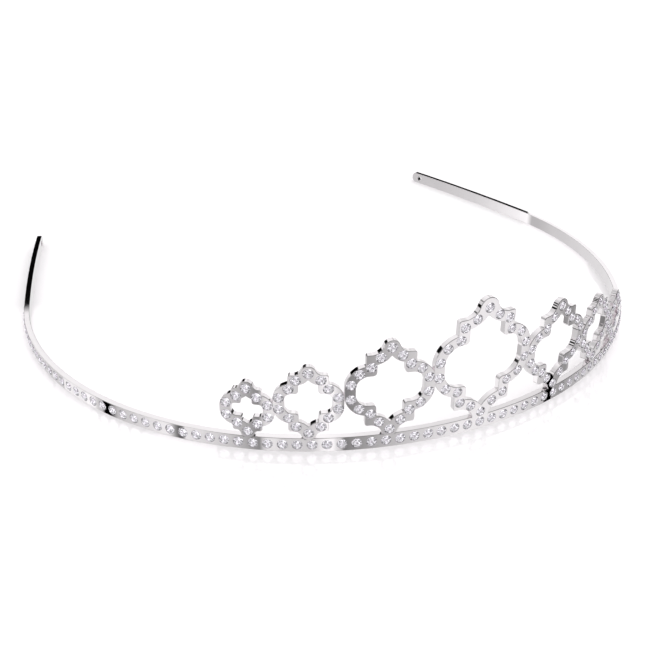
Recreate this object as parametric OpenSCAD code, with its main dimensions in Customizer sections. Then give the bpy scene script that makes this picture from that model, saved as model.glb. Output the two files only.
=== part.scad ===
// Horseshoe tiara: one soldered metal frame (a flat headband with seven pierced
// quatrefoil motifs standing on its front) and the cut stones that are set in it.
// All sizes are in millimetres. +Z is up, the front faces -Y, the band stands on z = 0,
// and the origin is under the middle of the whole piece.
// Places on the wall are given by the length s along its outer face from the middle of
// the front (negative to the viewer's left) and by the height z.

/* [Metal] */
// Height of the band
band_h = 3.25; // [3:0.05:4]
// Thickness of the band and of the motifs
metal_t = 1.35; // [1.25:0.05:2]
// Radius that rounds the end of each arm
tip_r = 1.7; // [1.7:0.05:2.2]
// Radius of the pin hole near the end of each arm
pin_hole_r = 0.8; // [0.5:0.05:0.9]
// Distance of the pin hole from the end of the arm
pin_hole_in = 3.3; // [2.8:0.1:4]

/* [Plan of the outer face] */
// Radius of the front stretch
front_r = 85.5; // [80:0.5:95]
// Angle that the front stretch turns through, from the middle to each end
front_turn = 20.25; // [19:0.25:22]
// Radius of each side stretch
side_r = 74.25; // [68:0.25:78]
// Angle that each side stretch turns through
side_turn = 81.75; // [78:0.25:84]
// Radius of each arm, which is nearly straight
arm_r = 515; // [400:5:800]
// Angle that each arm turns through
arm_turn = 5.3; // [4.8:0.05:6]
// Largest angle that one facet of the wall turns through
plan_facet_angle = 1.5; // [1:0.25:3]

/* [Motifs] */
// Width of the strip that a motif's lobes are cut to
strip_w = 2.35; // [2.3:0.05:2.45]
// Radius on the outer corners of a motif's shoulders
shoulder_r = 0.55; // [0.3:0.05:0.6]
// Largest angle that one facet of a curved edge turns through
facet_angle = 12; // [8:1:20]

/* [Stones] */
// Diameter of a stone at its girdle
stone_d = 2.14; // [2:0.02:2.16]
// Clearance between a stone and its seat
seat_gap = 0.03; // [0.03:0.01:0.06]
// Diameter of the table as a share of the stone's
table_share = 0.58; // [0.5:0.01:0.65]
// Height of the crown above the girdle
crown_h = 0.34; // [0.25:0.01:0.4]
// Depth of the pavilion below the girdle
pavilion_h = 0.92; // [0.8:0.01:0.95]
// Depth of the girdle under the outer face
girdle_in = 0.04; // [0:0.01:0.1]
// Depth of a seat, which is blind
seat_in = 1.08; // [1.06:0.01:1.1]
// Spacing of the stones along the band
pitch = 3; // [2.9:0.05:3.2]
// Number of stones on the band to each side of the middle one
side_count = 58; // [10:1:58]
// Height of the band's row of stones above the middle of the band
row_up = 0.05; // [0:0.05:0.15]

/* [Hidden] */
metal_colour = [0.86, 0.86, 0.88];
stone_colour = [0.93, 0.95, 1.0];
// Facets round a stone, and sides of a round cut
stone_sides = 8;
round_sides = 40;
// How far a cut or a prism runs past the metal
reach = 1;

// Motifs from the middle outwards, one row each; the sizes are measured from the
// motif's own middle, and each shape is the same in all four quarters.
// along:     place of the motif's middle along the wall
// height:    height of its middle
// lobe_x:    half the width over the side lobes
// lobe_z:    half the height of the side lobes
// lobe_r:    radius on the corners of the side lobes
// block_x:   half the width of the upright block
// block_z:   half the height to the block's shoulders
// tip_z:     half the height to the round tips
// tip_r:     radius of the round tips
// neck_x:    place where the hollow curve of a tip meets the shoulder
// ogee_z:    half the height of the hole, to its pointed top
// ogee_x:    half the width of the hole's pointed top
// block_w:   width of metal left at the sides of the block
// inner_r:   radius on the corner between block and lobe inside the hole
MOTIF_COLUMNS = ["along", "height", "lobe_x", "lobe_z", "lobe_r", "block_x", "block_z",
    "tip_z", "tip_r", "neck_x", "ogee_z", "ogee_x", "block_w", "inner_r"];
MOTIFS = [
    [0,     16.2,  11.5, 7.15, 6.2,  6.65, 10.35, 14.3, 2.15, 5.2, 10.45, 5.0, 2.65, 0.8],
    [20.35, 13.65, 9.3,  5.7,  4.95, 5.15, 8.1,   11.0, 1.75, 4.0, 7.6,   3.6, 2.35, 0.8],
    [36.65, 11.4,  7.1,  4.6,  3.8,  4.05, 6.5,   8.5,  1.6,  3.0, 5.4,   2.7, 2.1,  0.7],
    [48.95, 9.4,   5.6,  3.75, 3.3,  3.05, 4.85,  6.6,  1.5,  2.3, 3.2,   1.8, 2.0,  0.5]
];
// Places [x, z] of the stones in one quarter of each motif, in the rows' order
MOTIF_STONES = [
    [[0, 12.05], [2.6, 10.05], [5.2, 8.63], [5.97, 5.97], [8.71, 4.6], [10.23, 1.74]],
    [[0, 9.37], [2.2, 7.42], [4.0, 5.34], [6.33, 3.97], [7.97, 1.65]],
    [[0, 6.9], [2.47, 5.38], [3.94, 3.35], [5.88, 1.32]],
    [[0, 5.0], [2.07, 3.1], [4.2, 1.4]]
];

radians = PI / 180;
front_len = front_r * front_turn * radians;
side_len = side_r * side_turn * radians;
tip_s = front_len + side_len + arm_r * arm_turn * radians;
row_z = band_h / 2 + row_up;
top_z = motif(0, "height") + motif(0, "tip_z") + reach;
stone_r = stone_d / 2;
proud = crown_h - girdle_in;

// Direction from an arc's centre to its outer face where the wall has turned by an angle
function outward(turned) = [sin(turned), -cos(turned)];
// Centre of the side arc and of the arm's arc, from that of the front arc; each arc is
// tangent to the next
function side_centre_from(c) = c + (front_r - side_r) * outward(front_turn);
function arm_centre_from(c) = side_centre_from(c) + (side_r - arm_r) * outward(front_turn + side_turn);
// Depth of the whole piece, from the foremost stone to the ends of the arms
plan_depth = proud + (arm_centre_from([0, front_r]) + arm_r * outward(front_turn + side_turn + arm_turn)).y;
// Centres of the three arcs on the viewer's right
front_centre = [0, front_r - plan_depth / 2 + proud];
side_centre = side_centre_from(front_centre);
arm_centre = arm_centre_from(front_centre);

// Angle that the wall has turned through at a length s from the middle
function turn(s) = let (a = abs(s))
    sign(s) * (min(a, front_len) / front_r
        + max(0, min(a - front_len, side_len)) / side_r
        + max(0, a - front_len - side_len) / arm_r) / radians;
// Point on the outer face at a length s, on the viewer's right
function right_point(s) =
    s <= front_len ? front_centre + front_r * outward(turn(s)) :
    s <= front_len + side_len ? side_centre + side_r * outward(turn(s)) :
    arm_centre + arm_r * outward(turn(s));
// Point on the outer face at a length s, on either side
function face_point(s) = let (p = right_point(abs(s))) [s < 0 ? -p.x : p.x, p.y];
// Point on the inner face, behind the outer one
function inner_point(s) = face_point(s) - metal_t * outward(turn(s));
// Steps along one arc of the wall, without its first point
function steps(from, length, angle) = let (n = ceil(angle / plan_facet_angle))
    [for (i = [1:n]) from + length * i / n];
right_steps = concat(
    steps(0, front_len, front_turn),
    steps(front_len, side_len, side_turn),
    steps(front_len + side_len, tip_s - front_len - side_len, arm_turn));
wall_steps = concat([for (i = [len(right_steps) - 1:-1:0]) -right_steps[i]], [0], right_steps);
// Value of a named column in one row of the motif table
function motif(row, column) = MOTIFS[row][search([column], MOTIF_COLUMNS)[0]];
// Points along an arc between two angles
function arc(centre, r, from, to) = let (n = ceil(abs(to - from) / facet_angle))
    [for (i = [0:n]) centre + r * [cos(from + (to - from) * i / n), sin(from + (to - from) * i / n)]];
// Whole outline from the points of its first quarter, which run from the top to the side
function whole(quarter) = let (
    right = concat(quarter, [for (i = [len(quarter) - 1:-1:0]) [quarter[i].x, -quarter[i].y]]),
    last = len(right) - 1)
    concat(right, [for (i = [last - 1:-1:1]) [-right[i].x, right[i].y]]);

// Places children on the outer face: x runs along the band, y up and z outwards
module on_wall(s, z) {
    p = face_point(s);
    translate([p.x, p.y, z]) rotate([0, 0, turn(s)]) rotate([90, 0, 0]) children();
}

// Curved wall between the outer and the inner face, over the full height
module wall() {
    linear_extrude(top_z)
        polygon(concat(
            [for (s = wall_steps) face_point(s)],
            [for (i = [len(wall_steps) - 1:-1:0]) inner_point(wall_steps[i])]));
}

// Outer edge of a motif: a round tip, a hollow curve down to the shoulder, the block's
// side and a rounded side lobe
module motif_outline(row) {
    tip = [0, motif(row, "tip_z") - motif(row, "tip_r")];
    rise = motif(row, "tip_z") - motif(row, "block_z");
    neck_x = motif(row, "neck_x");
    both_r = (neck_x * neck_x + rise * rise) / (2 * rise);
    neck_r = both_r - motif(row, "tip_r");
    neck = [neck_x, motif(row, "block_z") + neck_r];
    meeting = atan2(neck.y - tip.y, neck.x - tip.x);
    shoulder = [motif(row, "block_x"), motif(row, "block_z")] - [shoulder_r, shoulder_r];
    lobe_r = motif(row, "lobe_r");
    lobe = [motif(row, "lobe_x"), motif(row, "lobe_z")] - [lobe_r, lobe_r];
    polygon(whole(concat(
        arc(tip, motif(row, "tip_r"), 90, meeting),
        arc(neck, neck_r, 180 + meeting, 270),
        arc(shoulder, shoulder_r, 90, 0),
        arc(lobe, lobe_r, acos((motif(row, "block_x") - lobe.x) / lobe_r), 0))));
}

// Hole of a motif: a pointed top, the inside of the block and of the side lobe
module motif_hole(row) {
    point = [0, motif(row, "ogee_z")];
    ogee_x = motif(row, "ogee_x");
    rise = point.y - (motif(row, "block_z") - strip_w);
    ogee_r = (ogee_x * ogee_x + rise * rise) / (2 * rise);
    ogee = [ogee_x, point.y - rise + ogee_r];
    block = motif(row, "block_x") - motif(row, "block_w");
    inner_r = motif(row, "inner_r");
    corner = [block + inner_r, motif(row, "lobe_z") - strip_w + inner_r];
    lobe_r = motif(row, "lobe_r") - strip_w;
    lobe = [motif(row, "lobe_x"), motif(row, "lobe_z")] - (strip_w + lobe_r) * [1, 1];
    polygon(whole(concat(
        arc(ogee, ogee_r, 360 + atan2(point.y - ogee.y, -ogee_x),
            360 - acos(min(1, (block - ogee_x) / ogee_r))),
        arc(corner, inner_r, 180, 270),
        arc(lobe, lobe_r, 90, 0))));
}

// Motif as a prism that passes right through the wall
module motif_prism(row, side) {
    on_wall(side * motif(row, "along"), motif(row, "height"))
        translate([0, 0, -metal_t - 2 * reach])
            linear_extrude(metal_t + 3 * reach)
                difference() {
                    motif_outline(row);
                    motif_hole(row);
                }
}

// What is cut off to round the end of an arm
module tip_cut() {
    on_wall(tip_s, band_h / 2)
        difference() {
            translate([-tip_r, -band_h, -metal_t - reach])
                cube([tip_r + reach, 2 * band_h, metal_t + 2 * reach]);
            translate([-tip_r, 0, -metal_t - 2 * reach])
                cylinder(r = tip_r, h = metal_t + 4 * reach, $fn = round_sides);
        }
}

// Pin hole near the end of an arm
module pin_hole() {
    on_wall(tip_s - pin_hole_in, band_h / 2)
        translate([0, 0, -metal_t - reach])
            cylinder(r = pin_hole_r, h = metal_t + 2 * reach, $fn = round_sides);
}

// Seat of one stone
module seat() {
    translate([0, 0, -seat_in]) cylinder(r = stone_r + seat_gap, h = seat_in + reach, $fn = round_sides);
}

// Stone with a table, eight crown facets and eight pavilion facets
module stone() {
    rotate_extrude($fn = stone_sides)
        polygon([
            [0, -girdle_in - pavilion_h],
            [stone_r, -girdle_in],
            [stone_r * table_share, proud],
            [0, proud]]);
}

// Places children at every stone of the band
module along_band() {
    for (i = [-side_count:side_count]) on_wall(i * pitch, row_z) children();
}

// Places children at every stone of one motif
module around_motif(row, side) {
    for (place = MOTIF_STONES[row], x_side = [-1, 1], z_side = [-1, 1])
        if (place.x > 0 || x_side > 0)
            on_wall(side * motif(row, "along") + x_side * place.x, motif(row, "height") + z_side * place.y)
                children();
}

// Soldered metal frame
module frame() {
    color(metal_colour)
        difference() {
            intersection() {
                wall();
                union() {
                    translate([-front_r * 1.5, -front_r * 1.5, 0]) cube([front_r * 3, front_r * 3, band_h]);
                    motif_prism(0, 1);
                    for (row = [1:3], side = [-1, 1]) motif_prism(row, side);
                }
            }
            for (side = [0, 1]) mirror([side, 0, 0]) {
                tip_cut();
                pin_hole();
            }
            along_band() seat();
            around_motif(0, 1) seat();
            for (row = [1:3], side = [-1, 1]) around_motif(row, side) seat();
        }
}

module band_stones() {
    color(stone_colour) along_band() stone();
}

module motif_stones(row, side) {
    color(stone_colour) around_motif(row, side) stone();
}
module centre_motif_stones() { motif_stones(0, 1); }
module left_motif_1_stones() { motif_stones(1, -1); }
module left_motif_2_stones() { motif_stones(2, -1); }
module left_motif_3_stones() { motif_stones(3, -1); }
module right_motif_1_stones() { motif_stones(1, 1); }
module right_motif_2_stones() { motif_stones(2, 1); }
module right_motif_3_stones() { motif_stones(3, 1); }

frame();
band_stones();
centre_motif_stones();
left_motif_1_stones();
left_motif_2_stones();
left_motif_3_stones();
right_motif_1_stones();
right_motif_2_stones();
right_motif_3_stones();
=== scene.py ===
"""Looks of a horseshoe tiara in polished white metal: a flat headband, seven pierced quatrefoil
motifs that stand on its front, and the round brilliants that are set flush in all of them.

Places on the metal wall are given by the length s along its outer face from the middle of the
front (negative to the viewer's left), by the height z and by the depth behind the outer face,
all in millimetres. Blender's own coordinates are metres.
"""

from math import acos, asin, atan2, cos, pi, radians, sin

import bpy
import numpy as np
from mathutils import Matrix, Vector


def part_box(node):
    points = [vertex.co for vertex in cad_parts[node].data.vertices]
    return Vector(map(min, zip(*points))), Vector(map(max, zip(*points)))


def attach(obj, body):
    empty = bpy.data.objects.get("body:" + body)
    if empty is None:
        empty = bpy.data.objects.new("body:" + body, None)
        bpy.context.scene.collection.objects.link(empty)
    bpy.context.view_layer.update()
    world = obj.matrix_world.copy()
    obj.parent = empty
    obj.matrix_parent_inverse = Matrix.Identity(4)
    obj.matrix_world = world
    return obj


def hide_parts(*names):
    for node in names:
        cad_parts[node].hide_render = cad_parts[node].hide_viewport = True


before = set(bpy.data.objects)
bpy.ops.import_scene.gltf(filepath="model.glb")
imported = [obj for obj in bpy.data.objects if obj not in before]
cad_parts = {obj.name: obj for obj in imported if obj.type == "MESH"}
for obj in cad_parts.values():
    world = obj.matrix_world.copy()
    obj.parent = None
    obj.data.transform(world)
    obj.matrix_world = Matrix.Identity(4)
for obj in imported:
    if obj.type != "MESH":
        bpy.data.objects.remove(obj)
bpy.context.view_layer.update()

MM = 0.001

# Band
BAND_H = 3.25
METAL_T = 1.35
TIP_R = 1.7
PIN_HOLE_R = 0.8
PIN_HOLE_IN = 3.3

# Plan of the outer face: three arcs on each side, each tangent to the next
FRONT_R = 85.5
SIDE_R = 74.25
ARM_R = 515.0
FRONT_TURN = radians(20.25)
SIDE_TURN = radians(81.75)
ARM_TURN = radians(5.3)

# Motifs from the middle outwards; each shape is the same in all four quarters
STRIP_W = 2.35
SHOULDER_R = 0.55
MOTIF_COLUMNS = ("along", "height", "lobe_x", "lobe_z", "lobe_r", "block_x", "block_z",
                 "tip_z", "tip_r", "neck_x", "ogee_z", "ogee_x", "block_w", "inner_r")
MOTIF_ROWS = (
    (0.0, 16.2, 11.5, 7.15, 6.2, 6.65, 10.35, 14.3, 2.15, 5.2, 10.45, 5.0, 2.65, 0.8),
    (20.35, 13.65, 9.3, 5.7, 4.95, 5.15, 8.1, 11.0, 1.75, 4.0, 7.6, 3.6, 2.35, 0.8),
    (36.65, 11.4, 7.1, 4.6, 3.8, 4.05, 6.5, 8.5, 1.6, 3.0, 5.4, 2.7, 2.1, 0.7),
    (48.95, 9.4, 5.6, 3.75, 3.3, 3.05, 4.85, 6.6, 1.5, 2.3, 3.2, 1.8, 2.0, 0.5),
)
MOTIFS = [dict(zip(MOTIF_COLUMNS, row)) for row in MOTIF_ROWS]
# Places (x, z) of the stones in one quarter of each motif, from the top to the side
MOTIF_STONES = (
    ((0, 12.05), (2.6, 10.05), (5.2, 8.63), (5.97, 5.97), (8.71, 4.6), (10.23, 1.74)),
    ((0, 9.37), (2.2, 7.42), (4.0, 5.34), (6.33, 3.97), (7.97, 1.65)),
    ((0, 6.9), (2.47, 5.38), (3.94, 3.35), (5.88, 1.32)),
    ((0, 5.0), (2.07, 3.1), (4.2, 1.4)),
)

# Stones
STONE_R = 1.065
TABLE_SHARE = 0.58
STAR_SHARE = 0.8
LOWER_SHARE = 0.24
CROWN_H = 0.32
PAVILION_H = 0.9
GIRDLE_IN = 0.04
PITCH = 3.0
SIDE_COUNT = 58
ROW_UP = 0.05
ROW_Z = BAND_H / 2 + ROW_UP

# Seeds that turn the stones about their own axes
BAND_SEED = 11
MOTIF_SEED = 40
SEEDS_A_ROW = 7

# Finish of the metal: small rounded edges, seats and soldered joints
EDGE = 0.12
BAND_EDGE = 0.1
PIN_HOLE_EDGE = 0.05
SEAT_R = 1.085
SEAT_RIM = 0.02
SEAT_REACH = SEAT_R + 2 * SEAT_RIM
SEAT_WALL_IN = 0.07
SEAT_TIP_IN = 1.02
SEAT_CONE_SHARE = 0.3
NOTCH_Z = 2.92
JOINT_GAP = 0.004

# Fineness of the meshes: rows over a rounded edge, the step along a motif's edges, the distance of
# the extra point beside a corner, steps across the band and along each stone's cell, the least
# distance of a step from a notch's corner, lines along an arm's plain end, steps in half a cut
EDGE_ROWS = 3
STEP = 0.26
EASE = 1.4 * EDGE
BAND_STEPS = 8
CORNER_CLEAR = 0.06
ARM_LINES = 9
CUT_STEPS = 2
# The rounding of an edge fades where the edge is narrower than its full width over this
EDGE_FADE = 5
# Points are welded when they are the same in these steps to the millimetre
WELD_STEPS = 1e4
# Differences that count as none
NEAR = 1e-6
TINY = 1e-12

FRONT_LEN = FRONT_R * FRONT_TURN
SIDE_LEN = SIDE_R * SIDE_TURN
ARM_LEN = ARM_R * ARM_TURN
TIP_S = FRONT_LEN + SIDE_LEN + ARM_LEN
# Direction out of the wall, as (along, up, out)
OUT = np.array([0.0, 0.0, 1.0])


def outward(turned):
    """Direction out of the wall where it has turned by an angle: (sin, -cos)."""
    return np.stack([np.sin(turned), -np.cos(turned)], -1)


CAD_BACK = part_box("frame")[1].y / MM
RADII = np.array([FRONT_R, SIDE_R, ARM_R])
ENDS = np.array([FRONT_LEN, FRONT_LEN + SIDE_LEN])
TURNS = np.cumsum([FRONT_TURN, SIDE_TURN, ARM_TURN])
# Centres of the three arcs, first from the front one's own centre and then set so that the
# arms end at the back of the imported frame
CENTRES = np.cumsum([(0.0, 0.0),
                     (FRONT_R - SIDE_R) * outward(TURNS[0]),
                     (SIDE_R - ARM_R) * outward(TURNS[1])], 0)
CENTRES[:, 1] += CAD_BACK - (CENTRES[2] + ARM_R * outward(TURNS[2]))[1]


def turn(s):
    """Signed angle that the wall has turned through at s: each stretch adds its length over its
    radius."""
    a = np.abs(s)
    turned = (np.minimum(a, FRONT_LEN) / FRONT_R
              + np.clip(a - FRONT_LEN, 0, SIDE_LEN) / SIDE_R
              + np.clip(a - FRONT_LEN - SIDE_LEN, 0, None) / ARM_R)
    return np.sign(s) * turned


def wall(s, z, depth):
    """Points of the curved wall in metres: the centre of the stretch's arc plus (radius - depth)
    times the outward direction, mirrored to the left side, at the height z."""
    s, z, depth = np.broadcast_arrays(s, z, depth)
    stretch = np.searchsorted(ENDS, np.abs(s))
    plan = CENTRES[stretch] + (RADII[stretch] - depth)[..., None] * outward(np.abs(turn(s)))
    return np.stack([np.where(s < 0, -plan[..., 0], plan[..., 0]), plan[..., 1], z], -1) * MM


def wall_directions(s, local):
    """Directions given as (along, up, out) at s, turned into Blender's axes."""
    turned = turn(s)
    along = np.stack([np.cos(turned), np.sin(turned), 0 * turned], -1)
    out = np.stack([np.sin(turned), -np.cos(turned), 0 * turned], -1)
    up = np.array([0.0, 0.0, 1.0])
    return local[..., :1] * along + local[..., 1:2] * up + local[..., 2:] * out


class Patches:
    """Collects grids of wall points with their normals, and welds them into one mesh."""

    def __init__(self):
        self.points = []
        self.normals = []
        self.quads = []
        self.count = 0

    def add(self, s, z, depth, normal, close=False):
        """A grid of points, rows by columns, with a normal (along, up, out) for each; close joins
        the last column to the first. Columns run anticlockwise round each row as seen from
        outside, and rows run into the hole or over the edge."""
        s, z, depth = np.broadcast_arrays(s, z, depth)
        rows, cols = s.shape
        index = np.arange(rows * cols).reshape(rows, cols) + self.count
        if close:
            index = np.concatenate([index, index[:, :1]], 1)
        a, b = index[:-1, :-1], index[:-1, 1:]
        c, d = index[1:, 1:], index[1:, :-1]
        self.quads.append(np.stack([a, b, c, d], -1).reshape(-1, 4))
        self.points.append(np.stack([s, z, depth], -1).reshape(-1, 3))
        normal = np.broadcast_to(normal, s.shape + (3,))
        self.normals.append(normal.reshape(-1, 3))
        self.count += rows * cols

    def mesh(self, name):
        """One mesh of all patches: points that round to the same ten-thousandth of a millimetre
        become one, and faces that shrink to a line are left out."""
        points = np.concatenate(self.points)
        normals = np.concatenate(self.normals)
        quads = np.concatenate(self.quads)
        keys, first, where = np.unique(np.round(points * WELD_STEPS).astype(np.int64), axis=0,
                                       return_index=True, return_inverse=True)
        where = where.reshape(-1)
        summed = np.zeros((len(keys), 3))
        np.add.at(summed, where, normals)
        points = points[first]
        quads = where[quads]
        coords = wall(points[:, 0], points[:, 1], points[:, 2])
        directions = wall_directions(points[:, 0], summed)
        directions /= np.linalg.norm(directions, axis=1)[:, None] + TINY
        return build_mesh(name, coords, quads, directions)


def build_mesh(name, coords, quads, directions=None):
    """A mesh from arrays of points and four-cornered faces; a face with a repeated corner becomes
    a triangle, and one with fewer than three corners is dropped."""
    repeated = quads == np.roll(quads, -1, 1)
    crossed = (quads[:, 0] == quads[:, 2]) | (quads[:, 1] == quads[:, 3])
    keep = ~crossed & (repeated.sum(1) <= 1)
    quads, repeated = quads[keep], repeated[keep]
    sizes = 4 - repeated.sum(1)
    corners = quads[~repeated]
    starts = np.concatenate([[0], np.cumsum(sizes)[:-1]])
    mesh = bpy.data.meshes.new(name)
    mesh.vertices.add(len(coords))
    mesh.vertices.foreach_set("co", np.asarray(coords, np.float32).ravel())
    mesh.loops.add(len(corners))
    mesh.loops.foreach_set("vertex_index", corners.astype(np.int32))
    mesh.polygons.add(len(sizes))
    mesh.polygons.foreach_set("loop_start", starts.astype(np.int32))
    mesh.update(calc_edges=True)
    mesh.validate()
    if directions is not None:
        mesh.shade_smooth()
        mesh.normals_split_custom_set_from_vertices(directions)
    return mesh


def add_piece(name, mesh, material, cad_node):
    """Puts a finished mesh into the scene: it rides on the one body and stands for its node."""
    piece = bpy.data.objects.new(name, mesh)
    bpy.context.scene.collection.objects.link(piece)
    mesh.materials.append(material)
    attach(piece, "root")
    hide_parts(cad_node)


def spaced(length):
    """Places along a line from 0 to its length: even steps, with one more close to each end so that
    the shading of a corner stays narrow. A short line has its even steps alone."""
    n = max(2, int(np.ceil(length / STEP)))
    even = np.linspace(0, length, n + 1)
    if length < 4 * EASE:
        return even
    return np.unique(np.concatenate([even, [EASE, length - EASE]]))


def arc(centre, r, start, end, side=1):
    """Points and normals of an arc: the centre plus r times the direction at each angle. The
    normals point away from the centre, or to it where side is -1."""
    angle = start + np.sign(end - start) * spaced(abs(end - start) * r) / r
    direction = np.stack([np.cos(angle), np.sin(angle)], -1)
    return np.asarray(centre) + r * direction, side * direction


def straight(a, b, normal):
    """Points and normals of a straight line from a to b."""
    a, b = np.asarray(a, float), np.asarray(b, float)
    t = spaced(np.hypot(*(b - a)))[:, None] / np.hypot(*(b - a))
    return a + (b - a) * t, np.broadcast_to(np.asarray(normal, float), (len(t), 2))


def chain(parts):
    """Joins parts of a line end to end. Returns its points, their normals and their mitres, which
    are how far a corner moves for each millimetre that both its sides move inwards."""
    points = [parts[0][0]]
    normals = [parts[0][1]]
    mitres = [parts[0][1]]
    for p, n in parts[1:]:
        last = normals[-1][-1]
        both = last + n[0]
        mitres[-1] = np.concatenate([mitres[-1][:-1], [both / (1 + last @ n[0])]])
        normals[-1] = np.concatenate([normals[-1][:-1], [both / np.hypot(*both)]])
        points.append(p[1:])
        normals.append(n[1:])
        mitres.append(n[1:])
    return np.concatenate(points), np.concatenate(normals), np.concatenate(mitres)


def whole(quarter):
    """Closed line from its first quarter, which runs clockwise from the top to the side: the lower
    right quarter is its mirror image, and the left half that of the right."""
    lines = []
    for values in quarter:
        right = np.concatenate([values, values[-2::-1] * (1, -1)])
        lines.append(np.concatenate([right, right[-2:0:-1] * (-1, 1)]))
    points, normals, mitres = lines
    # The two ends of the quarter lie on the axes, where a corner's normal follows the axis
    for end, axis in ((0, 1), (len(quarter[0]) - 1, 0)):
        for row in (end, (end + 2 * (len(quarter[0]) - 1)) % len(points)):
            n = normals[row]
            normals[row] = (0, np.sign(n[1])) if axis else (np.sign(n[0]), 0)
            mitres[row] = normals[row] / abs(n[axis])
    return points, normals, mitres


def motif_outline(m):
    """Outer edge of a motif: a round tip, a hollow curve down to the shoulder, the block's rounded
    corner and side, and the rounded side lobe. The hollow curve touches the tip's circle and runs
    out level on the block's top, so that its radius and the tip's add up to (neck_x squared plus
    rise squared) / (2 rise)."""
    tip = np.array([0, m["tip_z"] - m["tip_r"]])
    rise = m["tip_z"] - m["block_z"]
    neck_r = (m["neck_x"] ** 2 + rise ** 2) / (2 * rise) - m["tip_r"]
    neck = np.array([m["neck_x"], m["block_z"] + neck_r])
    meeting = atan2(*(neck - tip)[::-1])
    shoulder = np.array([m["block_x"], m["block_z"]]) - SHOULDER_R
    lobe = np.array([m["lobe_x"], m["lobe_z"]]) - m["lobe_r"]
    lobe_start = acos((m["block_x"] - lobe[0]) / m["lobe_r"])
    lobe_top = lobe[1] + m["lobe_r"] * sin(lobe_start)
    return whole(chain([
        arc(tip, m["tip_r"], pi / 2, meeting),
        arc(neck, neck_r, pi + meeting, 1.5 * pi, -1),
        straight((neck[0], m["block_z"]), (shoulder[0], m["block_z"]), (0, 1)),
        arc(shoulder, SHOULDER_R, pi / 2, 0),
        straight((m["block_x"], shoulder[1]), (m["block_x"], lobe_top), (1, 0)),
        arc(lobe, m["lobe_r"], lobe_start, 0),
        straight((m["lobe_x"], lobe[1]), (m["lobe_x"], 0), (1, 0)),
    ]))


def motif_hole(m):
    """Edge of a motif's hole: a pointed top, the side and rounded corner of the block, and the
    inside of the side lobe. Each side of the point is part of a circle whose lowest place is at
    ogee_x, a strip's width below the block's top, so that its radius is (ogee_x squared plus rise
    squared) / (2 rise). The normals point into the hole."""
    rise = m["ogee_z"] - (m["block_z"] - STRIP_W)
    ogee_r = (m["ogee_x"] ** 2 + rise ** 2) / (2 * rise)
    ogee = np.array([m["ogee_x"], m["ogee_z"] - rise + ogee_r])
    block = m["block_x"] - m["block_w"]
    lobe_r = m["lobe_r"] - STRIP_W
    lobe = np.array([m["lobe_x"], m["lobe_z"]]) - m["lobe_r"]
    corner = np.array([block, m["lobe_z"] - STRIP_W]) + m["inner_r"]
    ogee_end = 2 * pi - acos(min(1.0, (block - m["ogee_x"]) / ogee_r))
    ogee_foot = ogee[1] + ogee_r * sin(ogee_end)
    lobe_top = m["lobe_z"] - STRIP_W
    return whole(chain([
        arc(ogee, ogee_r, 2 * pi + atan2(m["ogee_z"] - ogee[1], -m["ogee_x"]), ogee_end),
        straight((block, ogee_foot), (block, corner[1]), (-1, 0)),
        arc(corner, m["inner_r"], pi, 1.5 * pi),
        straight((corner[0], lobe_top), (lobe[0], lobe_top), (0, -1)),
        arc(lobe, lobe_r, pi / 2, 0, -1),
        straight((lobe[0] + lobe_r, lobe[1]), (lobe[0] + lobe_r, 0), (-1, 0)),
    ]))


def seat(patches, centre, ring):
    """Face and seat round one stone: straight lines from the ring of points round its cell to the
    rim of the seat, at the same angles round the stone, then a small rim, a short wall and a cone
    that ends in a point behind the stone's own."""
    direction = ring - centre
    direction = direction / np.hypot(*direction.T)[:, None]
    cone_depth = SEAT_TIP_IN - SEAT_CONE_SHARE * (SEAT_TIP_IN - SEAT_WALL_IN)
    radii = np.array([SEAT_R + SEAT_RIM, SEAT_R, SEAT_R, SEAT_CONE_SHARE * SEAT_R, 0.0])
    depths = np.array([0.0, SEAT_RIM, SEAT_WALL_IN, cone_depth, SEAT_TIP_IN])
    rows = centre + radii[:, None, None] * direction
    inwards = np.concatenate([-direction, np.zeros((len(ring), 1))], 1)
    cone = (SEAT_TIP_IN - SEAT_WALL_IN) * inwards + SEAT_R * OUT
    cone /= np.linalg.norm(cone, axis=1)[:, None]
    normals = np.stack([OUT + 0 * inwards, inwards, inwards + cone, cone, cone])
    face = np.stack([ring, rows[0]])
    patches.add(face[..., 0], face[..., 1], 0.0, OUT, close=True)
    patches.add(rows[..., 0], rows[..., 1], depths[:, None], normals, close=True)


def ring_distance(points, centre, least):
    """Pushes points away from a centre to a least distance."""
    away = points - centre
    distance = np.hypot(*away.T)[:, None]
    return centre + away * np.maximum(1, least / np.maximum(distance, TINY))


def motif_stones(row):
    """Places (x, z) of all stones of one motif from its middle: the quarter, mirrored downwards,
    and both mirrored to the left."""
    quarter = np.array(MOTIF_STONES[row], float)
    right = np.concatenate([quarter, quarter[::-1] * (1, -1)])
    return np.concatenate([right, right[-2:0:-1] * (-1, 1)])


def motif_middle(row, side):
    """Place (s, z) of a motif's middle on the wall."""
    return np.array([side * MOTIFS[row]["along"], MOTIFS[row]["height"]])


def round_part(line, start, end):
    """Points of a closed line from one index to another, past its last point where need be."""
    return np.take(line, np.arange(start, end + 1 + len(line) * (end < start)), 0, mode="wrap")


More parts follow.
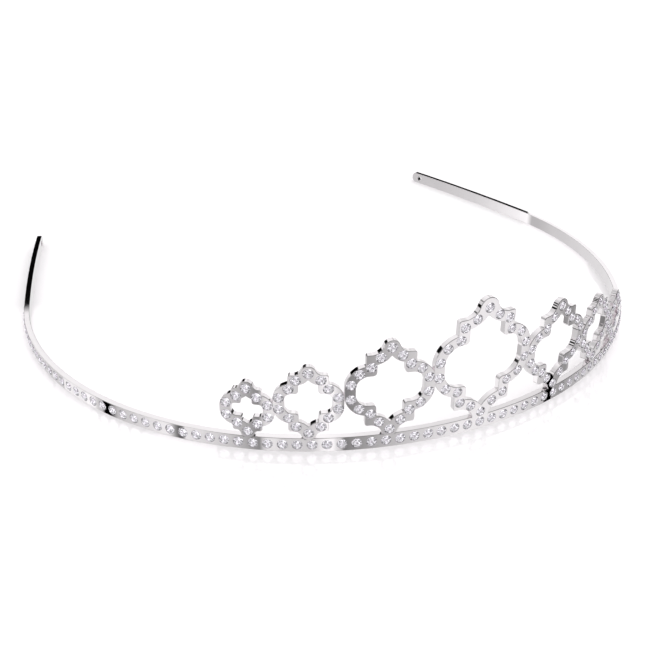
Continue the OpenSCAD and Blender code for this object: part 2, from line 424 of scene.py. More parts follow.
def motif_mesh(name, row, side):
    """One motif: the strip between its outline and its hole is cut into a cell for each stone. A
    cut runs from the outline through the middle between two stones to the hole."""
    m = MOTIFS[row]
    middle = motif_middle(row, side)
    stones = motif_stones(row)
    patches = Patches()

    fronts = []
    lines = []
    for points, normals, mitres in (motif_outline(m), motif_hole(m)):
        line = points + middle
        front = line - EDGE * mitres
        for values in (line, front):
            meet_neighbours(values, row, side)
        sunk = line[:, 1] < BAND_H
        line[sunk, 1] = np.maximum(line[sunk, 1], NOTCH_Z)
        front[sunk] = line[sunk]
        lines.append((line, normals))
        fronts.append(front)

    places = stones + middle
    between = (stones + np.roll(stones, -1, 0)) / 2 + middle
    cuts = [np.argmin(np.hypot(*(line[None] - between[:, None]).transpose(2, 0, 1)), 1)
            for line, _ in lines]
    # The face's edges stay clear of the seats
    for centre in places:
        for front in fronts:
            near = np.hypot(*(front - centre).T) < SEAT_REACH
            front[near] = ring_distance(front[near], centre, SEAT_REACH)

    for k, centre in enumerate(places):
        outer, inner = [round_part(front, cut[k - 1], cut[k]) for front, cut in zip(fronts, cuts)]
        cut_in = cut_line(outer[-1], between[k], inner[-1])
        cut_out = cut_line(inner[0], between[k - 1], outer[0])
        ring = np.concatenate([outer, cut_in, inner[::-1], cut_out])
        seat(patches, centre, ring[::-1])
        back = np.stack([ring, centre + 0 * ring])
        patches.add(back[..., 0], back[..., 1], METAL_T, -OUT, close=True)

    # Both lines run clockwise, but the hole's wall faces inwards, so that its columns are turned
    for front, (line, normals), way in zip(fronts, lines, (1, -1)):
        rows, deep, directions = edge_rows(line, front, normals)
        rows = rows[:, ::way]
        patches.add(rows[..., 0], rows[..., 1], deep[:, ::way], directions[:, ::way], close=True)
    return patches.mesh(name)


def edge_rows(line, front, normals):
    """Rows along a line from the front face over a rounded edge to the wall, back through the metal
    and over the same edge to the inner face. Each edge is a quarter circle: 1 - sin of its angle
    times the way from the line to the face, and 1 - cos of it times the width deep. The width is
    how far the face lies inside the line, EDGE at most."""
    angle = np.linspace(0, pi / 2, EDGE_ROWS + 1)
    inset = front - line
    width = np.minimum(EDGE, np.hypot(*inset.T))
    share = np.concatenate([1 - np.sin(angle), (1 - np.sin(angle))[::-1]])
    fall = 1 - np.cos(angle)
    rows = line + share[:, None, None] * inset
    deep = np.concatenate([fall[:, None] * width, METAL_T - fall[::-1, None] * width])
    # Where the edge is missing, at a joint, the face stays flat up to the line
    angle = angle[:, None] * np.minimum(1, EDGE_FADE * width / EDGE)
    lean = np.sin(np.concatenate([angle, angle[::-1]]))
    face = np.concatenate([np.cos(angle), -np.cos(angle)[::-1]])
    directions = np.concatenate([lean[..., None] * normals, face[..., None]], -1)
    return rows, deep, directions


def cut_line(a, middle, b):
    """Points of a cut from a through the middle to b, without its two ends."""
    t = np.arange(1, CUT_STEPS + 1)[:, None] / CUT_STEPS
    return np.concatenate([a + (middle - a) * t, middle + (b - middle) * t[:-1]])


def joint(row):
    """Line on which a motif meets its outer neighbour: from the lower to the upper end of their
    overlap, and between their two nearest seats. Returns its heights and its places s."""
    inner, outer = MOTIFS[row], MOTIFS[row + 1]
    least = outer["along"] - outer["lobe_x"]
    most = inner["along"] + inner["lobe_x"]
    inner_stone = MOTIF_STONES[row][-1]
    outer_stone = MOTIF_STONES[row + 1][-1]
    inner_seat = inner["along"] + inner_stone[0] + SEAT_REACH
    outer_seat = outer["along"] - outer_stone[0] - SEAT_REACH
    overlap = most - least

    def lobe_height(m):
        return m["lobe_z"] - m["lobe_r"] + np.sqrt(m["lobe_r"] ** 2 - (m["lobe_r"] - overlap) ** 2)
    heights = (inner["height"] - lobe_height(inner), inner["height"] - inner_stone[1],
               outer["height"] + outer_stone[1], outer["height"] + lobe_height(outer))
    places = (least, np.clip(inner_seat, least, most), np.clip(outer_seat, least, most), most)
    return heights, places


def meet_neighbours(values, row, side):
    """Stops a motif's points (s, z) at the lines on which it meets its neighbours."""
    away = side * values[:, 0]
    if row < len(MOTIFS) - 1:
        stop = np.interp(values[:, 1], *joint(row)) - JOINT_GAP
        away = np.minimum(away, stop)
        if row == 0:
            away = np.maximum(away, -stop)
    if row > 0:
        away = np.maximum(away, np.interp(values[:, 1], *joint(row - 1)) + JOINT_GAP)
    values[:, 0] = side * away


def notch_places():
    """Stretches of the band's top that the motifs' lower tips are let into: for each motif its s
    and half the chord of the tip's circle, at the band's top and at the bottom of the notch."""
    places = []
    for m in MOTIFS:
        centre_z = m["height"] - m["tip_z"] + m["tip_r"]
        widths = [np.sqrt(m["tip_r"] ** 2 - (centre_z - z) ** 2) for z in (BAND_H, NOTCH_Z)]
        for side in ((1,) if m["along"] == 0 else (1, -1)):
            places.append((side * m["along"], *widths))
    return places


def band_mesh():
    """The band: lines across it at even steps of s, and at the corners of each notch. Its outer
    face is cut into a cell for each stone, and the rest of its section is the same all along."""
    reach = (SIDE_COUNT + 0.5) * PITCH
    s = np.linspace(-reach, reach, (2 * SIDE_COUNT + 1) * BAND_STEPS + 1)
    cell_ends = (np.arange(-SIDE_COUNT, SIDE_COUNT + 2) - 0.5) * PITCH
    notches = notch_places()
    corners = [c + side * w for c, *widths in notches for side in (-1, 1) for w in widths]
    s = s[np.min(np.abs(s[:, None] - corners), 1) > CORNER_CLEAR]
    s = np.unique(np.concatenate([s, corners, cell_ends]))
    top = np.full(len(s), BAND_H)
    edge = np.full(len(s), BAND_EDGE)
    for c, wide, _ in notches:
        notched = np.abs(s - c) < wide - NEAR
        top = np.where(notched, NOTCH_Z, top)
        edge = np.where(notched, 0.0, edge)
    patches = Patches()
    band_section(patches, s, top, edge)
    for k in range(-SIDE_COUNT, SIDE_COUNT + 1):
        start, stop = np.searchsorted(s, ((k - 0.5) * PITCH - NEAR, (k + 0.5) * PITCH + NEAR))
        cell = slice(start, stop)
        upper = np.stack([s[cell], top[cell] - edge[cell]], -1)
        lower = np.stack([s[cell], np.full(stop - start, BAND_EDGE)], -1)
        rise = np.linspace(0, 1, BAND_STEPS)[1:-1, None]
        right = lower[-1] + (upper[-1] - lower[-1]) * rise
        left = upper[0] + (lower[0] - upper[0]) * rise
        ring = np.concatenate([lower, right, upper[::-1], left])
        seat(patches, np.array([k * PITCH, ROW_Z]), ring)
    for side in (-1, 1):
        arm_end(patches, side, reach)
    return patches.mesh("band")


def section_rows(top, edge):
    """Section of the band from its outer face's upper edge round the back to the lower edge, each
    of its edges a quarter circle: rows of heights, depths and normals (up, out)."""
    angle = np.linspace(0, pi / 2, EDGE_ROWS + 1)[:, None]
    ease = np.sin(angle)
    fall = 1 - np.cos(angle)
    height = [top - edge + ease * edge, top - edge + ease[::-1] * edge]
    depth = [fall * edge, METAL_T - fall[::-1] * edge]
    there = angle * (edge > 0)
    up = [np.sin(there), np.sin(there)[::-1]]
    out = [np.cos(there), -np.cos(there)[::-1]]
    rise = np.linspace(1, 0, BAND_STEPS)[1:-1, None]
    height.append(BAND_EDGE + (top - edge - BAND_EDGE) * rise)
    depth.append(METAL_T + 0 * rise)
    up.append(0 * rise)
    out.append(-1 + 0 * rise)
    height += [BAND_EDGE - ease * BAND_EDGE, BAND_EDGE - ease[::-1] * BAND_EDGE]
    depth += [METAL_T - fall * BAND_EDGE, fall[::-1] * BAND_EDGE]
    up += [-ease, -ease[::-1]]
    out += [-np.cos(angle), np.cos(angle)[::-1]]
    full = np.zeros_like(top)
    return [np.concatenate([v + full for v in values]) for values in (height, depth, up, out)]


def band_section(patches, s, top, edge):
    """The band's top, back and underside, as rows of its section carried along s."""
    height, depth, up, out = section_rows(top, edge)
    normal = np.stack([0 * up, up, out], -1)
    patches.add(s + 0 * height, height, depth, normal)


def arm_end(patches, side, reach):
    """The plain end of an arm: the section carried on to the join, then on each face a ring of
    points round the pin hole, which follows the join and the rounded end."""
    hole = np.array([TIP_S - PIN_HOLE_IN, BAND_H / 2])
    join = hole[0] - PIN_HOLE_IN
    end_middle = TIP_S - TIP_R
    half = asin(BAND_H / 2 / TIP_R)
    corner = end_middle + TIP_R * cos(half)

    def put(grid_s, grid_z, grid_d, grid_n, close=False):
        grid_n = np.broadcast_to(grid_n, np.broadcast(grid_s, grid_z).shape + (3,)) * (side, 1, 1)
        step = slice(None, None, side)
        patches.add((side * grid_s)[:, step], grid_z[:, step],
                    np.broadcast_to(grid_d, grid_s.shape)[:, step], grid_n[:, step], close)

    # From the last stone's cell to the join
    plain = np.linspace(reach, join, ARM_LINES)
    height, depth, up, out = section_rows(np.full(ARM_LINES, BAND_H), np.full(ARM_LINES, BAND_EDGE))
    put(plain + 0 * height, height, depth, np.stack([0 * up, up, out], -1))
    face_z = BAND_EDGE + (BAND_H - 2 * BAND_EDGE) * np.linspace(0, 1, BAND_STEPS)
    grid_s, grid_z = np.meshgrid(plain, face_z)
    put(grid_s[::-1], grid_z[::-1], 0.0, OUT)

    # Round the end: straight edges to the round end's own angle, then its arc
    line, normals, mitres = chain([
        straight((join, 0), (corner, 0), (0, -1)),
        arc((end_middle, BAND_H / 2), TIP_R, -half, half),
        straight((corner, BAND_H), (join, BAND_H), (0, 1)),
    ])
    front = line - BAND_EDGE * mitres
    rows, deep, directions = edge_rows(line, front, normals)
    put(rows[::-1, :, 0], rows[::-1, :, 1], deep[::-1], directions[::-1])

    # The two faces round the pin hole, then the hole's own edges and wall
    cut = np.stack([np.full(BAND_STEPS, join), face_z[::-1]], -1)[1:-1]
    ring = np.concatenate([front, cut])
    direction = ring - hole
    direction = direction / np.hypot(*direction.T)[:, None]
    inwards = np.concatenate([-direction, np.zeros((len(ring), 1))], 1)
    radii = PIN_HOLE_R + PIN_HOLE_EDGE * np.array([1.0, 0.0, 0.0, 1.0])
    hole_rows = hole + radii[:, None, None] * direction
    hole_deep = np.array([0.0, PIN_HOLE_EDGE, METAL_T - PIN_HOLE_EDGE, METAL_T])
    in_share = np.array([0.0, 1.0, 1.0, 0.0])[:, None, None]
    out_share = np.array([1.0, 0.0, 0.0, -1.0])[:, None, None]
    for face_depth, face_out, order in ((0.0, OUT, 1), (METAL_T, -OUT, -1)):
        face = np.stack([ring, hole_rows[0]])[::order]
        put(face[..., 0], face[..., 1], face_depth, face_out, True)
    put(hole_rows[..., 0], hole_rows[..., 1], hole_deep[:, None] + 0 * hole_rows[..., 0],
        in_share * inwards + out_share * OUT, True)


def brilliant():
    """One round brilliant about its own axis, girdle at height 0: a table, eight stars, eight kites
    and sixteen upper halves, then eight mains and sixteen lower halves below. Kites and mains are
    flat, so their side corners lie in the plane through table or culet and girdle."""
    step = pi / 8
    even = 2 * step * np.arange(8)
    odd = even + step
    table_r = TABLE_SHARE * STONE_R
    star_r = STAR_SHARE * STONE_R
    lower_r = LOWER_SHARE * STONE_R
    star_h = CROWN_H * (STONE_R - star_r * cos(step)) / (STONE_R - table_r)
    lower_h = -PAVILION_H * (1 - lower_r * cos(step) / STONE_R)

    def ring(r, angle, h):
        return np.stack([r * np.cos(angle), r * np.sin(angle), h + 0 * angle], -1)
    points = np.concatenate([
        [(0, 0, CROWN_H)],
        ring(table_r, even, CROWN_H),
        ring(star_r, odd, star_h),
        ring(STONE_R, step * np.arange(16), 0.0),
        ring(lower_r, odd, lower_h),
        [(0, 0, -PAVILION_H)],
    ])
    k = np.arange(8)
    after = (k + 1) % 8
    # First point of each ring in the order above
    top, table, star, girdle, lower, culet = 0, 1, 9, 17, 33, 41
    g0, g1, g2 = girdle + 2 * k, girdle + 2 * k + 1, girdle + 2 * after
    faces = np.concatenate([
        np.stack([top + 0 * k, table + k, table + after, table + after], 1),
        np.stack([table + k, star + k, table + after, table + after], 1),
        np.stack([table + after, star + k, g2, star + after], 1),
        np.stack([star + k, g0, g1, g1], 1),
        np.stack([star + k, g1, g2, g2], 1),
        np.stack([culet + 0 * k, lower + after, g2, lower + k], 1),
        np.stack([lower + k, g1, g0, g0], 1),
        np.stack([lower + k, g2, g1, g1], 1),
    ])
    return points, faces


def stones_mesh(name, places, seed):
    """Brilliants at places (s, z) on the wall: the same stone, turned about its own axis by a
    seeded angle, with its girdle a little behind the outer face."""
    points, faces = brilliant()
    places = np.asarray(places, float)
    spin = np.random.default_rng(seed).uniform(0, pi / 4, len(places))[:, None]
    x = points[:, 0] * np.cos(spin) - points[:, 1] * np.sin(spin)
    y = points[:, 0] * np.sin(spin) + points[:, 1] * np.cos(spin)
    local = np.stack([x, y, points[:, 2] + 0 * x], -1) * MM
    base = wall(places[:, 0], places[:, 1], GIRDLE_IN)
    s = np.broadcast_to(places[:, :1], x.shape)
    coords = base[:, None] + wall_directions(s, local)
    quads = faces[None] + len(points) * np.arange(len(places))[:, None, None]
    return build_mesh(name, coords.reshape(-1, 3), quads.reshape(-1, 4))


def new_material(name):
    """An empty node material: its tree and its Principled shader."""
    material = bpy.data.materials.new(name)
    material.use_nodes = True
    return material, material.node_tree, material.node_tree.nodes["Principled BSDF"]


def node(tree, kind, **values):
    """Adds a node and sets its properties."""
    made = tree.nodes.new(kind)
    for key, value in values.items():
        setattr(made, key, value)
    return made


def rgba(colour):
    """A colour, or a grey given as one number, as red, green, blue and full alpha."""
    if isinstance(colour, tuple):
        return (*colour, 1.0)
    return (colour, colour, colour, 1.0)


def fill(tree, socket, value):
    """Sets a socket to a value, or links it to another socket."""
    if isinstance(value, (int, float, tuple)):
        socket.default_value = value
    else:
        tree.links.new(value, socket)


def ramp(tree, source, stops):
    """A colour ramp on a source, from stops (position, colour or grey)."""
    made = node(tree, "ShaderNodeValToRGB")
    elements = made.color_ramp.elements
    while len(elements) < len(stops):
        elements.new(1.0)
    for element, (position, colour) in zip(elements, stops):
        element.position = position
        element.color = rgba(colour)
    tree.links.new(source, made.inputs["Fac"])
    return made.outputs["Color"]


def noise(tree, scale, detail):
    """Noise on the piece's own coordinates, which are metres."""
    coordinates = node(tree, "ShaderNodeTexCoord")
    made = node(tree, "ShaderNodeTexNoise")
    made.inputs["Scale"].default_value = scale
    made.inputs["Detail"].default_value = detail
    tree.links.new(coordinates.outputs["Object"], made.inputs["Vector"])
    return made.outputs["Fac"]


# Polished metal: tones and roughness over the noise of each, and the waves' height in metres
METAL_TONES = ((0.3, (0.91, 0.879, 0.895)), (0.7, (0.94, 0.908, 0.925)))
METAL_ROUGHNESS = ((0.35, 0.015), (0.7, 0.035))
TONE_SCALE = 260.0
POLISH_SCALE = 900.0
WAVE_SCALE = 700.0
WAVE_HEIGHT = 0.00002
WAVE_STRENGTH = 0.012
# Stones
STONE_TONES = ((0.35, (0.94, 0.935, 0.962)), (0.65, (0.985, 0.98, 0.995)))
STONE_TONE_SCALE = 420.0
STONE_IOR = 2.2


def polished_metal():
    """White precious metal, mirror polished: faint cloudy differences of polish and tone, and the
    fine waviness that a polishing wheel leaves."""
    material, tree, shader = new_material("polished_white_metal")
    shader.inputs["Metallic"].default_value = 1.0
    tree.links.new(ramp(tree, noise(tree, TONE_SCALE, detail=3.0), METAL_TONES),
                   shader.inputs["Base Color"])
    tree.links.new(ramp(tree, noise(tree, POLISH_SCALE, detail=4.0), METAL_ROUGHNESS),
                   shader.inputs["Roughness"])
    bump = node(tree, "ShaderNodeBump")
    bump.inputs["Strength"].default_value = WAVE_STRENGTH
    bump.inputs["Distance"].default_value = WAVE_HEIGHT
    tree.links.new(noise(tree, WAVE_SCALE, detail=1.0), bump.inputs["Height"])
    tree.links.new(bump.outputs["Normal"], shader.inputs["Normal"])
    return material


def clear_stone():
    """Colourless brilliants with the faintest lavender, each cut face a mirror."""
    material, tree, shader = new_material("clear_brilliant")
    shader.inputs["Transmission Weight"].default_value = 1.0
    shader.inputs["IOR"].default_value = STONE_IOR
    shader.inputs["Roughness"].default_value = 0.0
    tree.links.new(ramp(tree, noise(tree, STONE_TONE_SCALE, detail=2.0), STONE_TONES),
                   shader.inputs["Base Color"])
    return material


METAL = polished_metal()
STONE = clear_stone()

# Band and motifs, which together stand for the soldered frame, each motif with its stones
SIDE_WORDS = ((-1, "left"), (1, "right"))
add_piece("band", band_mesh(), METAL, "frame")
motifs = [(0, 1, "centre_motif")]
motifs += [(row, side, f"{word}_motif_{row}") for row in (1, 2, 3) for side, word in SIDE_WORDS]
for row, side, name in motifs:
    stones_name = f"{name}_brilliants"
    places = motif_stones(row) + motif_middle(row, side)
    seed = MOTIF_SEED + SEEDS_A_ROW * row + side
    add_piece(name, motif_mesh(name, row, side), METAL, "frame")
    add_piece(stones_name, stones_mesh(stones_name, places, seed), STONE, f"{name}_stones")
places = [(k * PITCH, ROW_Z) for k in range(-SIDE_COUNT, SIDE_COUNT + 1)]
add_piece("band_brilliants", stones_mesh("band_brilliants", places, BAND_SEED), STONE,
          "band_stones")


# Camera at the photograph's place and angle; its place, lens and sensor are in millimetres
CAMERA_AT = (-99.405, -201.347, 113.183)
CAMERA_YAW = radians(25.573)
CAMERA_PITCH = radians(28.535)
CAMERA_ROLL = radians(-0.067)
CAMERA_LENS = 52.376
SENSOR = 36.0


def add_camera():
    """Camera that looks along yaw (from +Y towards +X) and down by pitch."""
    data = bpy.data.cameras.new("camera")
    data.sensor_width = SENSOR
    data.lens = CAMERA_LENS
    data.clip_start = 0.005
    data.clip_end = 20.0
    camera = bpy.data.objects.new("camera", data)
    forward = Vector((sin(CAMERA_YAW) * cos(CAMERA_PITCH), cos(CAMERA_YAW) * cos(CAMERA_PITCH),
                      -sin(CAMERA_PITCH)))
    level = Vector((cos(CAMERA_YAW), -sin(CAMERA_YAW), 0.0))
    up = level.cross(forward)
    right = cos(CAMERA_ROLL) * level + sin(CAMERA_ROLL) * up
    up = -sin(CAMERA_ROLL) * level + cos(CAMERA_ROLL) * up
    turned = Matrix((right, up, -forward)).transposed().to_4x4()
    camera.matrix_world = Matrix.Translation(Vector(CAMERA_AT) * MM) @ turned
    bpy.context.scene.collection.objects.link(camera)
    bpy.context.scene.camera = camera


# Light tent round the object, as the metal sees it below the horizon: each stretch runs from one
# azimuth to another (degrees, 0 = +Y, 90 = +X) and from one brightness to another
LOW_RING = (
    (-180, -174, 0.69, 0.6),
    (-172, -167, 0.58, 0.47),
    (-166, -164.8, 0.83, 0.84),
    (-163.8, -160, 1.0, 0.975),
    (-155.5, -143.5, 0.8, 0.81),
    (-141.5, -136.6, 0.9, 0.88),
    (-136, -133.2, 0.5, 0.58),
    (-132, -124.5, 0.62, 0.76),
    (-123.5, -105, 0.78, 0.91),
    (-104, -102, 0.34, 0.38),
    (-98, -74, 0.94, 0.74),
    (-71, -67, 0.0, 0.0),
    (-66.5, -63.5, 0.77, 0.79),
    (-62.5, -57, 0.97, 1.0),
    (-55.5, -50, 0.715, 0.725),
    (-42, -8, 0.79, 0.86),
    (0, 28, 0.86, 0.885),
    (40, 52, 0.96, 0.96),
    (66, 90, 0.82, 0.78),
    (94, 104, 0.74, 0.64),
    (105, 112, 0.55, 0.66),
    (113, 130, 0.72, 0.90),
    (130, 151, 0.90, 0.93),
    (151, 180, 0.93, 0.69),
)
# The same above the horizon
HIGH_RING = (
    (-180, -126, 0.86, 0.82),
    (-120, -112, 0.80, 0.86),
    (-108, -62, 0.92, 0.90),
    (-60, -40, 0.82, 0.82),
    (-36, 0, 0.86, 0.95),
    (4, 20, 0.945, 0.95),
    (23.5, 25.5, 0.985, 0.985),
    (28, 33, 0.93, 0.885),
    (37, 48, 0.875, 0.88),
    (52, 66, 0.92, 0.93),
    (70, 140, 0.90, 0.88),
    (148, 180, 0.86, 0.88),
)
# Elevations where the high ring begins to show and where the tone overhead does, and how many
# degrees each change takes
HIGH_FROM = -12.0
HIGH_FADE = 10.0
OVERHEAD_FROM = 58.0
OVERHEAD_FADE = 12.0
OVERHEAD_TONE = 0.76
# Dark card at the far side: its two sides (azimuth), its lower edge (elevation) and its straight
# upper edge, whose height grows with the distance, leans to the right and fades out softly
DARK_SIDES = (-33.0, 38.5)
DARK_FOOT = 3.5
DARK_RISE = 0.476
DARK_LEAN = 0.125
DARK_FADE = 0.009
DARK_TONE = 0.001
# Stands, gaps, the open right side of the studio and bright cards: azimuth and elevation from and
# to, and the brightness that the metal shows
CARDS = (
    (68, 153, -19, 66, 0.13),
    (153, 172, -6, 66, 0.45),
    (172, 180, -6, 66, 0.13),
    (-180, -118, -6, 66, 0.13),
    (-45, -38, -8, 2, 0.0),
    (-35, -29, 25, 31, 0.35),
    (-60, -54, 4, 18, 0.2),
    (111.3, 114.9, -70, -28.4, 0.0),
    (14, 28, 58.5, 62, 0.4),
    (38.6, 46, 12, 27.5, 0.97),
    (-56.5, -42.5, -40, -29.8, 0.94),
    (-53, -46, 0, 8, 0.1),
)
# Dark slats at the left side: azimuth and elevation from and to, the elevation of one slat, the
# step from each to the next, the share of the step that is dark, and the brightness that shows
SLATS_REACH = (-110, -60, 1, 52)
SLAT_AT = 27.0
SLAT_STEP = 24.0
SLAT_SHARE = 0.62
SLAT_TONE = 0.04
# Light that leaves a stone after its turns inside: the tent's brightness times this
STONE_GAIN = 2.0
# Share of the tent without its cards in that light
STONE_OPEN = 0.55
# Fineness and light of the small bright and dark panels that the stones gather their light from
SPARKLE_SCALE = 4.5
SPARKLE = ((0.0, (0.04, 0.04, 0.042)), (0.3, (0.3, 0.297, 0.31)),
           (0.6, (1.1, 1.08, 1.12)), (1.0, (2.7, 2.65, 2.75)))
DISPLAY_GAMMA = 2.2
METAL_REFLECTS = 0.92
# Strength of the world, which its lights are divided by, and the white that the camera sees
WORLD_STRENGTH = 2.0
CAMERA_WHITE = 1.02
# Light on the floor: its strength, how much stronger it is from the front than from the back, and
# the part of it that the metal passes on to the floor
FLOOR_DOME = 1.6
FLOOR_LEAN = 0.35
FLOOR_RETURN = 0.55
# The floor: half its side and its drop under the band in metres, its colour, its gloss, and the
# share of its look that is the gloss
FLOOR_HALF = 3.0
FLOOR_DROP = 0.00004
FLOOR_COLOUR = (0.935, 0.917, 0.93)
GLOSS_COLOUR = (0.98, 0.92, 0.955)
GLOSS_ROUGHNESS = 0.01
FLOOR_MIRROR = 0.18


def maths(tree, operation, *values, clamp=False):
    """One step of arithmetic on sockets and numbers."""
    made = node(tree, "ShaderNodeMath", operation=operation, use_clamp=clamp)
    for socket, value in zip(made.inputs, values):
        fill(tree, socket, value)
    return made.outputs[0]


def mix(tree, share, a, b):
    """A colour or grey between a and b: a where the share is 0, b where it is 1."""
    made = node(tree, "ShaderNodeMix", data_type="RGBA")
    fill(tree, made.inputs["Factor"], share)
    for socket, value in ((made.inputs[6], a), (made.inputs[7], b)):
        fill(tree, socket, rgba(value) if isinstance(value, float) else value)
    return made.outputs[2]


def shown_light(shown):
    """Light of the world that polished metal shows as a brightness between 0 and 1: the brightness
    to the power of the display's gamma, over what the metal reflects."""
    return shown ** DISPLAY_GAMMA / METAL_REFLECTS / WORLD_STRENGTH


def ring_stops(ring):
    """Stops of a ramp over the whole turn: the place is the azimuth as a share of the turn, and the
    grey is the light for the brightness that shows."""
    stops = []
    for start, end, a, b in ring:
        for azimuth, shown in ((start, a), (end, b)):
            stops.append((azimuth / 360 + 0.5, shown_light(shown)))
    return stops


def ring_light(tree, azimuth, ring):
    """Light of one ring by azimuth. A ramp holds few stops, so that each half turn has its own."""
    share = maths(tree, "ADD", maths(tree, "DIVIDE", azimuth, 2 * pi), 0.5)
    left = ramp(tree, share, ring_stops([part for part in ring if part[0] < 0]))
    right = ramp(tree, share, ring_stops([part for part in ring if part[1] > 0]))
    return mix(tree, maths(tree, "GREATER_THAN", azimuth, 0.0), left, right)


def fade(tree, elevation, start, reach):
    """Share that grows from 0 at one elevation to 1 at a reach above it."""
    above = maths(tree, "SUBTRACT", elevation, radians(start))
    return maths(tree, "MULTIPLY", above, 1 / radians(reach), clamp=True)


def within(tree, azimuth, elevation, start, end, foot, top):
    """1 between two azimuths and two elevations, and 0 elsewhere."""
    across = maths(tree, "COMPARE", azimuth, radians(start + end) / 2, radians(end - start) / 2)
    upright = maths(tree, "COMPARE", elevation, radians(foot + top) / 2, radians(top - foot) / 2)
    return maths(tree, "MULTIPLY", across, upright)


def dark_card(tree, x, y, z, azimuth, elevation):
    """Share of the dark card: 1 between its sides and above its foot, and fading to 0 over the line
    z = rise * y + lean * x."""
    inside = maths(tree, "MULTIPLY", maths(tree, "GREATER_THAN", azimuth, radians(DARK_SIDES[0])),
                   maths(tree, "LESS_THAN", azimuth, radians(DARK_SIDES[1])))
    edge = maths(tree, "ADD", maths(tree, "MULTIPLY", y, DARK_RISE),
                 maths(tree, "MULTIPLY", x, DARK_LEAN))
    under = maths(tree, "SUBTRACT", maths(tree, "ADD", edge, DARK_FADE), z)
    tall = maths(tree, "MULTIPLY", maths(tree, "GREATER_THAN", elevation, radians(DARK_FOOT)),
                 maths(tree, "DIVIDE", under, DARK_FADE, clamp=True))
    return maths(tree, "MULTIPLY", inside, tall)


def slats(tree, azimuth, elevation):
    """Share of the dark slats: 1 where the elevation, counted in steps, lies near the middle of a
    step."""
    height = maths(tree, "ADD", elevation, radians(SLAT_STEP / 2 - SLAT_AT))
    steps = maths(tree, "DIVIDE", height, radians(SLAT_STEP))
    slat = maths(tree, "COMPARE", maths(tree, "FRACT", steps), 0.5, SLAT_SHARE / 2)
    return maths(tree, "MULTIPLY", slat, within(tree, azimuth, elevation, *SLATS_REACH))


def tent_light(tree, x, y, z):
    """The light tent by direction: the low ring, the high ring and the tone overhead one above the
    other, and over them the dark card, the slats and the other cards. Returns the whole tent and
    the tent without its cards."""
    azimuth = maths(tree, "ARCTAN2", x, y)
    level = maths(tree, "SQRT", maths(tree, "ADD", maths(tree, "MULTIPLY", x, x),
                                      maths(tree, "MULTIPLY", y, y)))
    elevation = maths(tree, "ARCTAN2", z, level)
    low = ring_light(tree, azimuth, LOW_RING)
    high = ring_light(tree, azimuth, HIGH_RING)
    sides = mix(tree, fade(tree, elevation, HIGH_FROM, HIGH_FADE), low, high)
    open_tent = mix(tree, fade(tree, elevation, OVERHEAD_FROM, OVERHEAD_FADE), sides,
                    shown_light(OVERHEAD_TONE))
    tent = mix(tree, dark_card(tree, x, y, z, azimuth, elevation), open_tent, DARK_TONE)
    tent = mix(tree, slats(tree, azimuth, elevation), tent, shown_light(SLAT_TONE))
    for *reach, shown in CARDS:
        tent = mix(tree, within(tree, azimuth, elevation, *reach), tent, shown_light(shown))
    return tent, open_tent


def stone_light(tree, direction, tent, open_tent):
    """Light that a stone gathers: the tent with its cards shown in part, times the light of small
    panels that lie over the directions as irregular cells, times the gain."""
    cells = node(tree, "ShaderNodeTexVoronoi")
    cells.inputs["Scale"].default_value = SPARKLE_SCALE
    tree.links.new(direction, cells.inputs["Vector"])
    cell = node(tree, "ShaderNodeSeparateColor")
    tree.links.new(cells.outputs["Color"], cell.inputs[0])
    gathered = node(tree, "ShaderNodeVectorMath", operation="MULTIPLY")
    tree.links.new(mix(tree, STONE_OPEN, tent, open_tent), gathered.inputs[0])
    tree.links.new(ramp(tree, cell.outputs[0], SPARKLE), gathered.inputs[1])
    gained = node(tree, "ShaderNodeVectorMath", operation="SCALE")
    tree.links.new(gathered.outputs[0], gained.inputs[0])
    gained.inputs["Scale"].default_value = STONE_GAIN
    return gained.outputs[0]


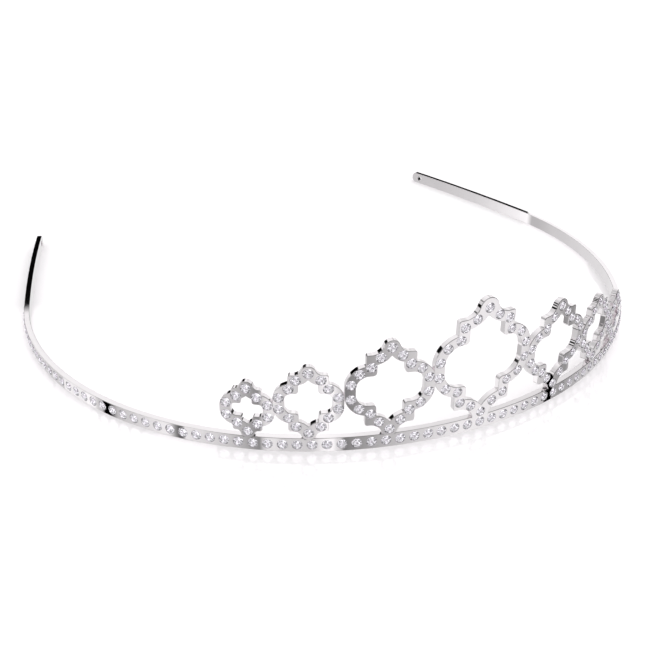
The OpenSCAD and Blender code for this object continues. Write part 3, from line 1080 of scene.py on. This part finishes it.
def add_world():
    """The surroundings: plain white to the camera, a dome that leans to the front to the floor, and
    the light tent with its dark gaps to what reflects."""
    world = bpy.data.worlds.new("light_tent")
    bpy.context.scene.world = world
    world.use_nodes = True
    tree = world.node_tree
    direction = node(tree, "ShaderNodeTexCoord").outputs["Generated"]
    split = node(tree, "ShaderNodeSeparateXYZ")
    tree.links.new(direction, split.inputs[0])
    x, y, z = split.outputs
    path = node(tree, "ShaderNodeLightPath").outputs
    tent, open_tent = tent_light(tree, x, y, z)
    dome = maths(tree, "ADD", maths(tree, "MULTIPLY", y, -FLOOR_LEAN / WORLD_STRENGTH),
                 FLOOR_DOME / WORLD_STRENGTH)
    in_stones = stone_light(tree, direction, tent, open_tent)
    shown = mix(tree, path["Is Transmission Ray"], tent, in_stones)
    # What the metal passes on to the floor, then what reaches the floor itself
    shown = mix(tree, maths(tree, "GREATER_THAN", path["Diffuse Depth"], 0.5), shown,
                maths(tree, "MULTIPLY", dome, FLOOR_RETURN))
    shown = mix(tree, path["Is Diffuse Ray"], shown, dome)
    shown = mix(tree, path["Is Camera Ray"], shown, CAMERA_WHITE / WORLD_STRENGTH)
    background = tree.nodes["Background"]
    tree.links.new(shown, background.inputs["Color"])
    background.inputs["Strength"].default_value = WORLD_STRENGTH


def add_floor():
    """Plain pale floor just under the band. The metal reflects the tent through it."""
    mesh = bpy.data.meshes.new("floor")
    corners = [(x * FLOOR_HALF, y * FLOOR_HALF, -FLOOR_DROP)
               for x, y in ((-1, -1), (1, -1), (1, 1), (-1, 1))]
    mesh.from_pydata(corners, [], [(0, 1, 2, 3)])
    floor = bpy.data.objects.new("floor", mesh)
    bpy.context.scene.collection.objects.link(floor)
    material, tree, shader = new_material("floor_white")
    shader.inputs["Base Color"].default_value = rgba(FLOOR_COLOUR)
    shader.inputs["Specular IOR Level"].default_value = 0.0
    gloss = node(tree, "ShaderNodeBsdfGlossy")
    gloss.inputs["Color"].default_value = rgba(GLOSS_COLOUR)
    gloss.inputs["Roughness"].default_value = GLOSS_ROUGHNESS
    both = node(tree, "ShaderNodeMixShader")
    both.inputs["Fac"].default_value = FLOOR_MIRROR
    tree.links.new(shader.outputs[0], both.inputs[1])
    tree.links.new(gloss.outputs[0], both.inputs[2])
    tree.links.new(both.outputs[0], tree.nodes["Material Output"].inputs["Surface"])
    mesh.materials.append(material)
    floor.visible_glossy = False
    floor.visible_transmission = False


add_camera()
add_world()
add_floor()
bpy.context.scene.view_settings.view_transform = "Standard"
# Light turns many times inside a cut stone and its seat
bpy.context.scene.cycles.max_bounces = 18
bpy.context.scene.cycles.glossy_bounces = 14
bpy.context.scene.cycles.transmission_bounces = 16
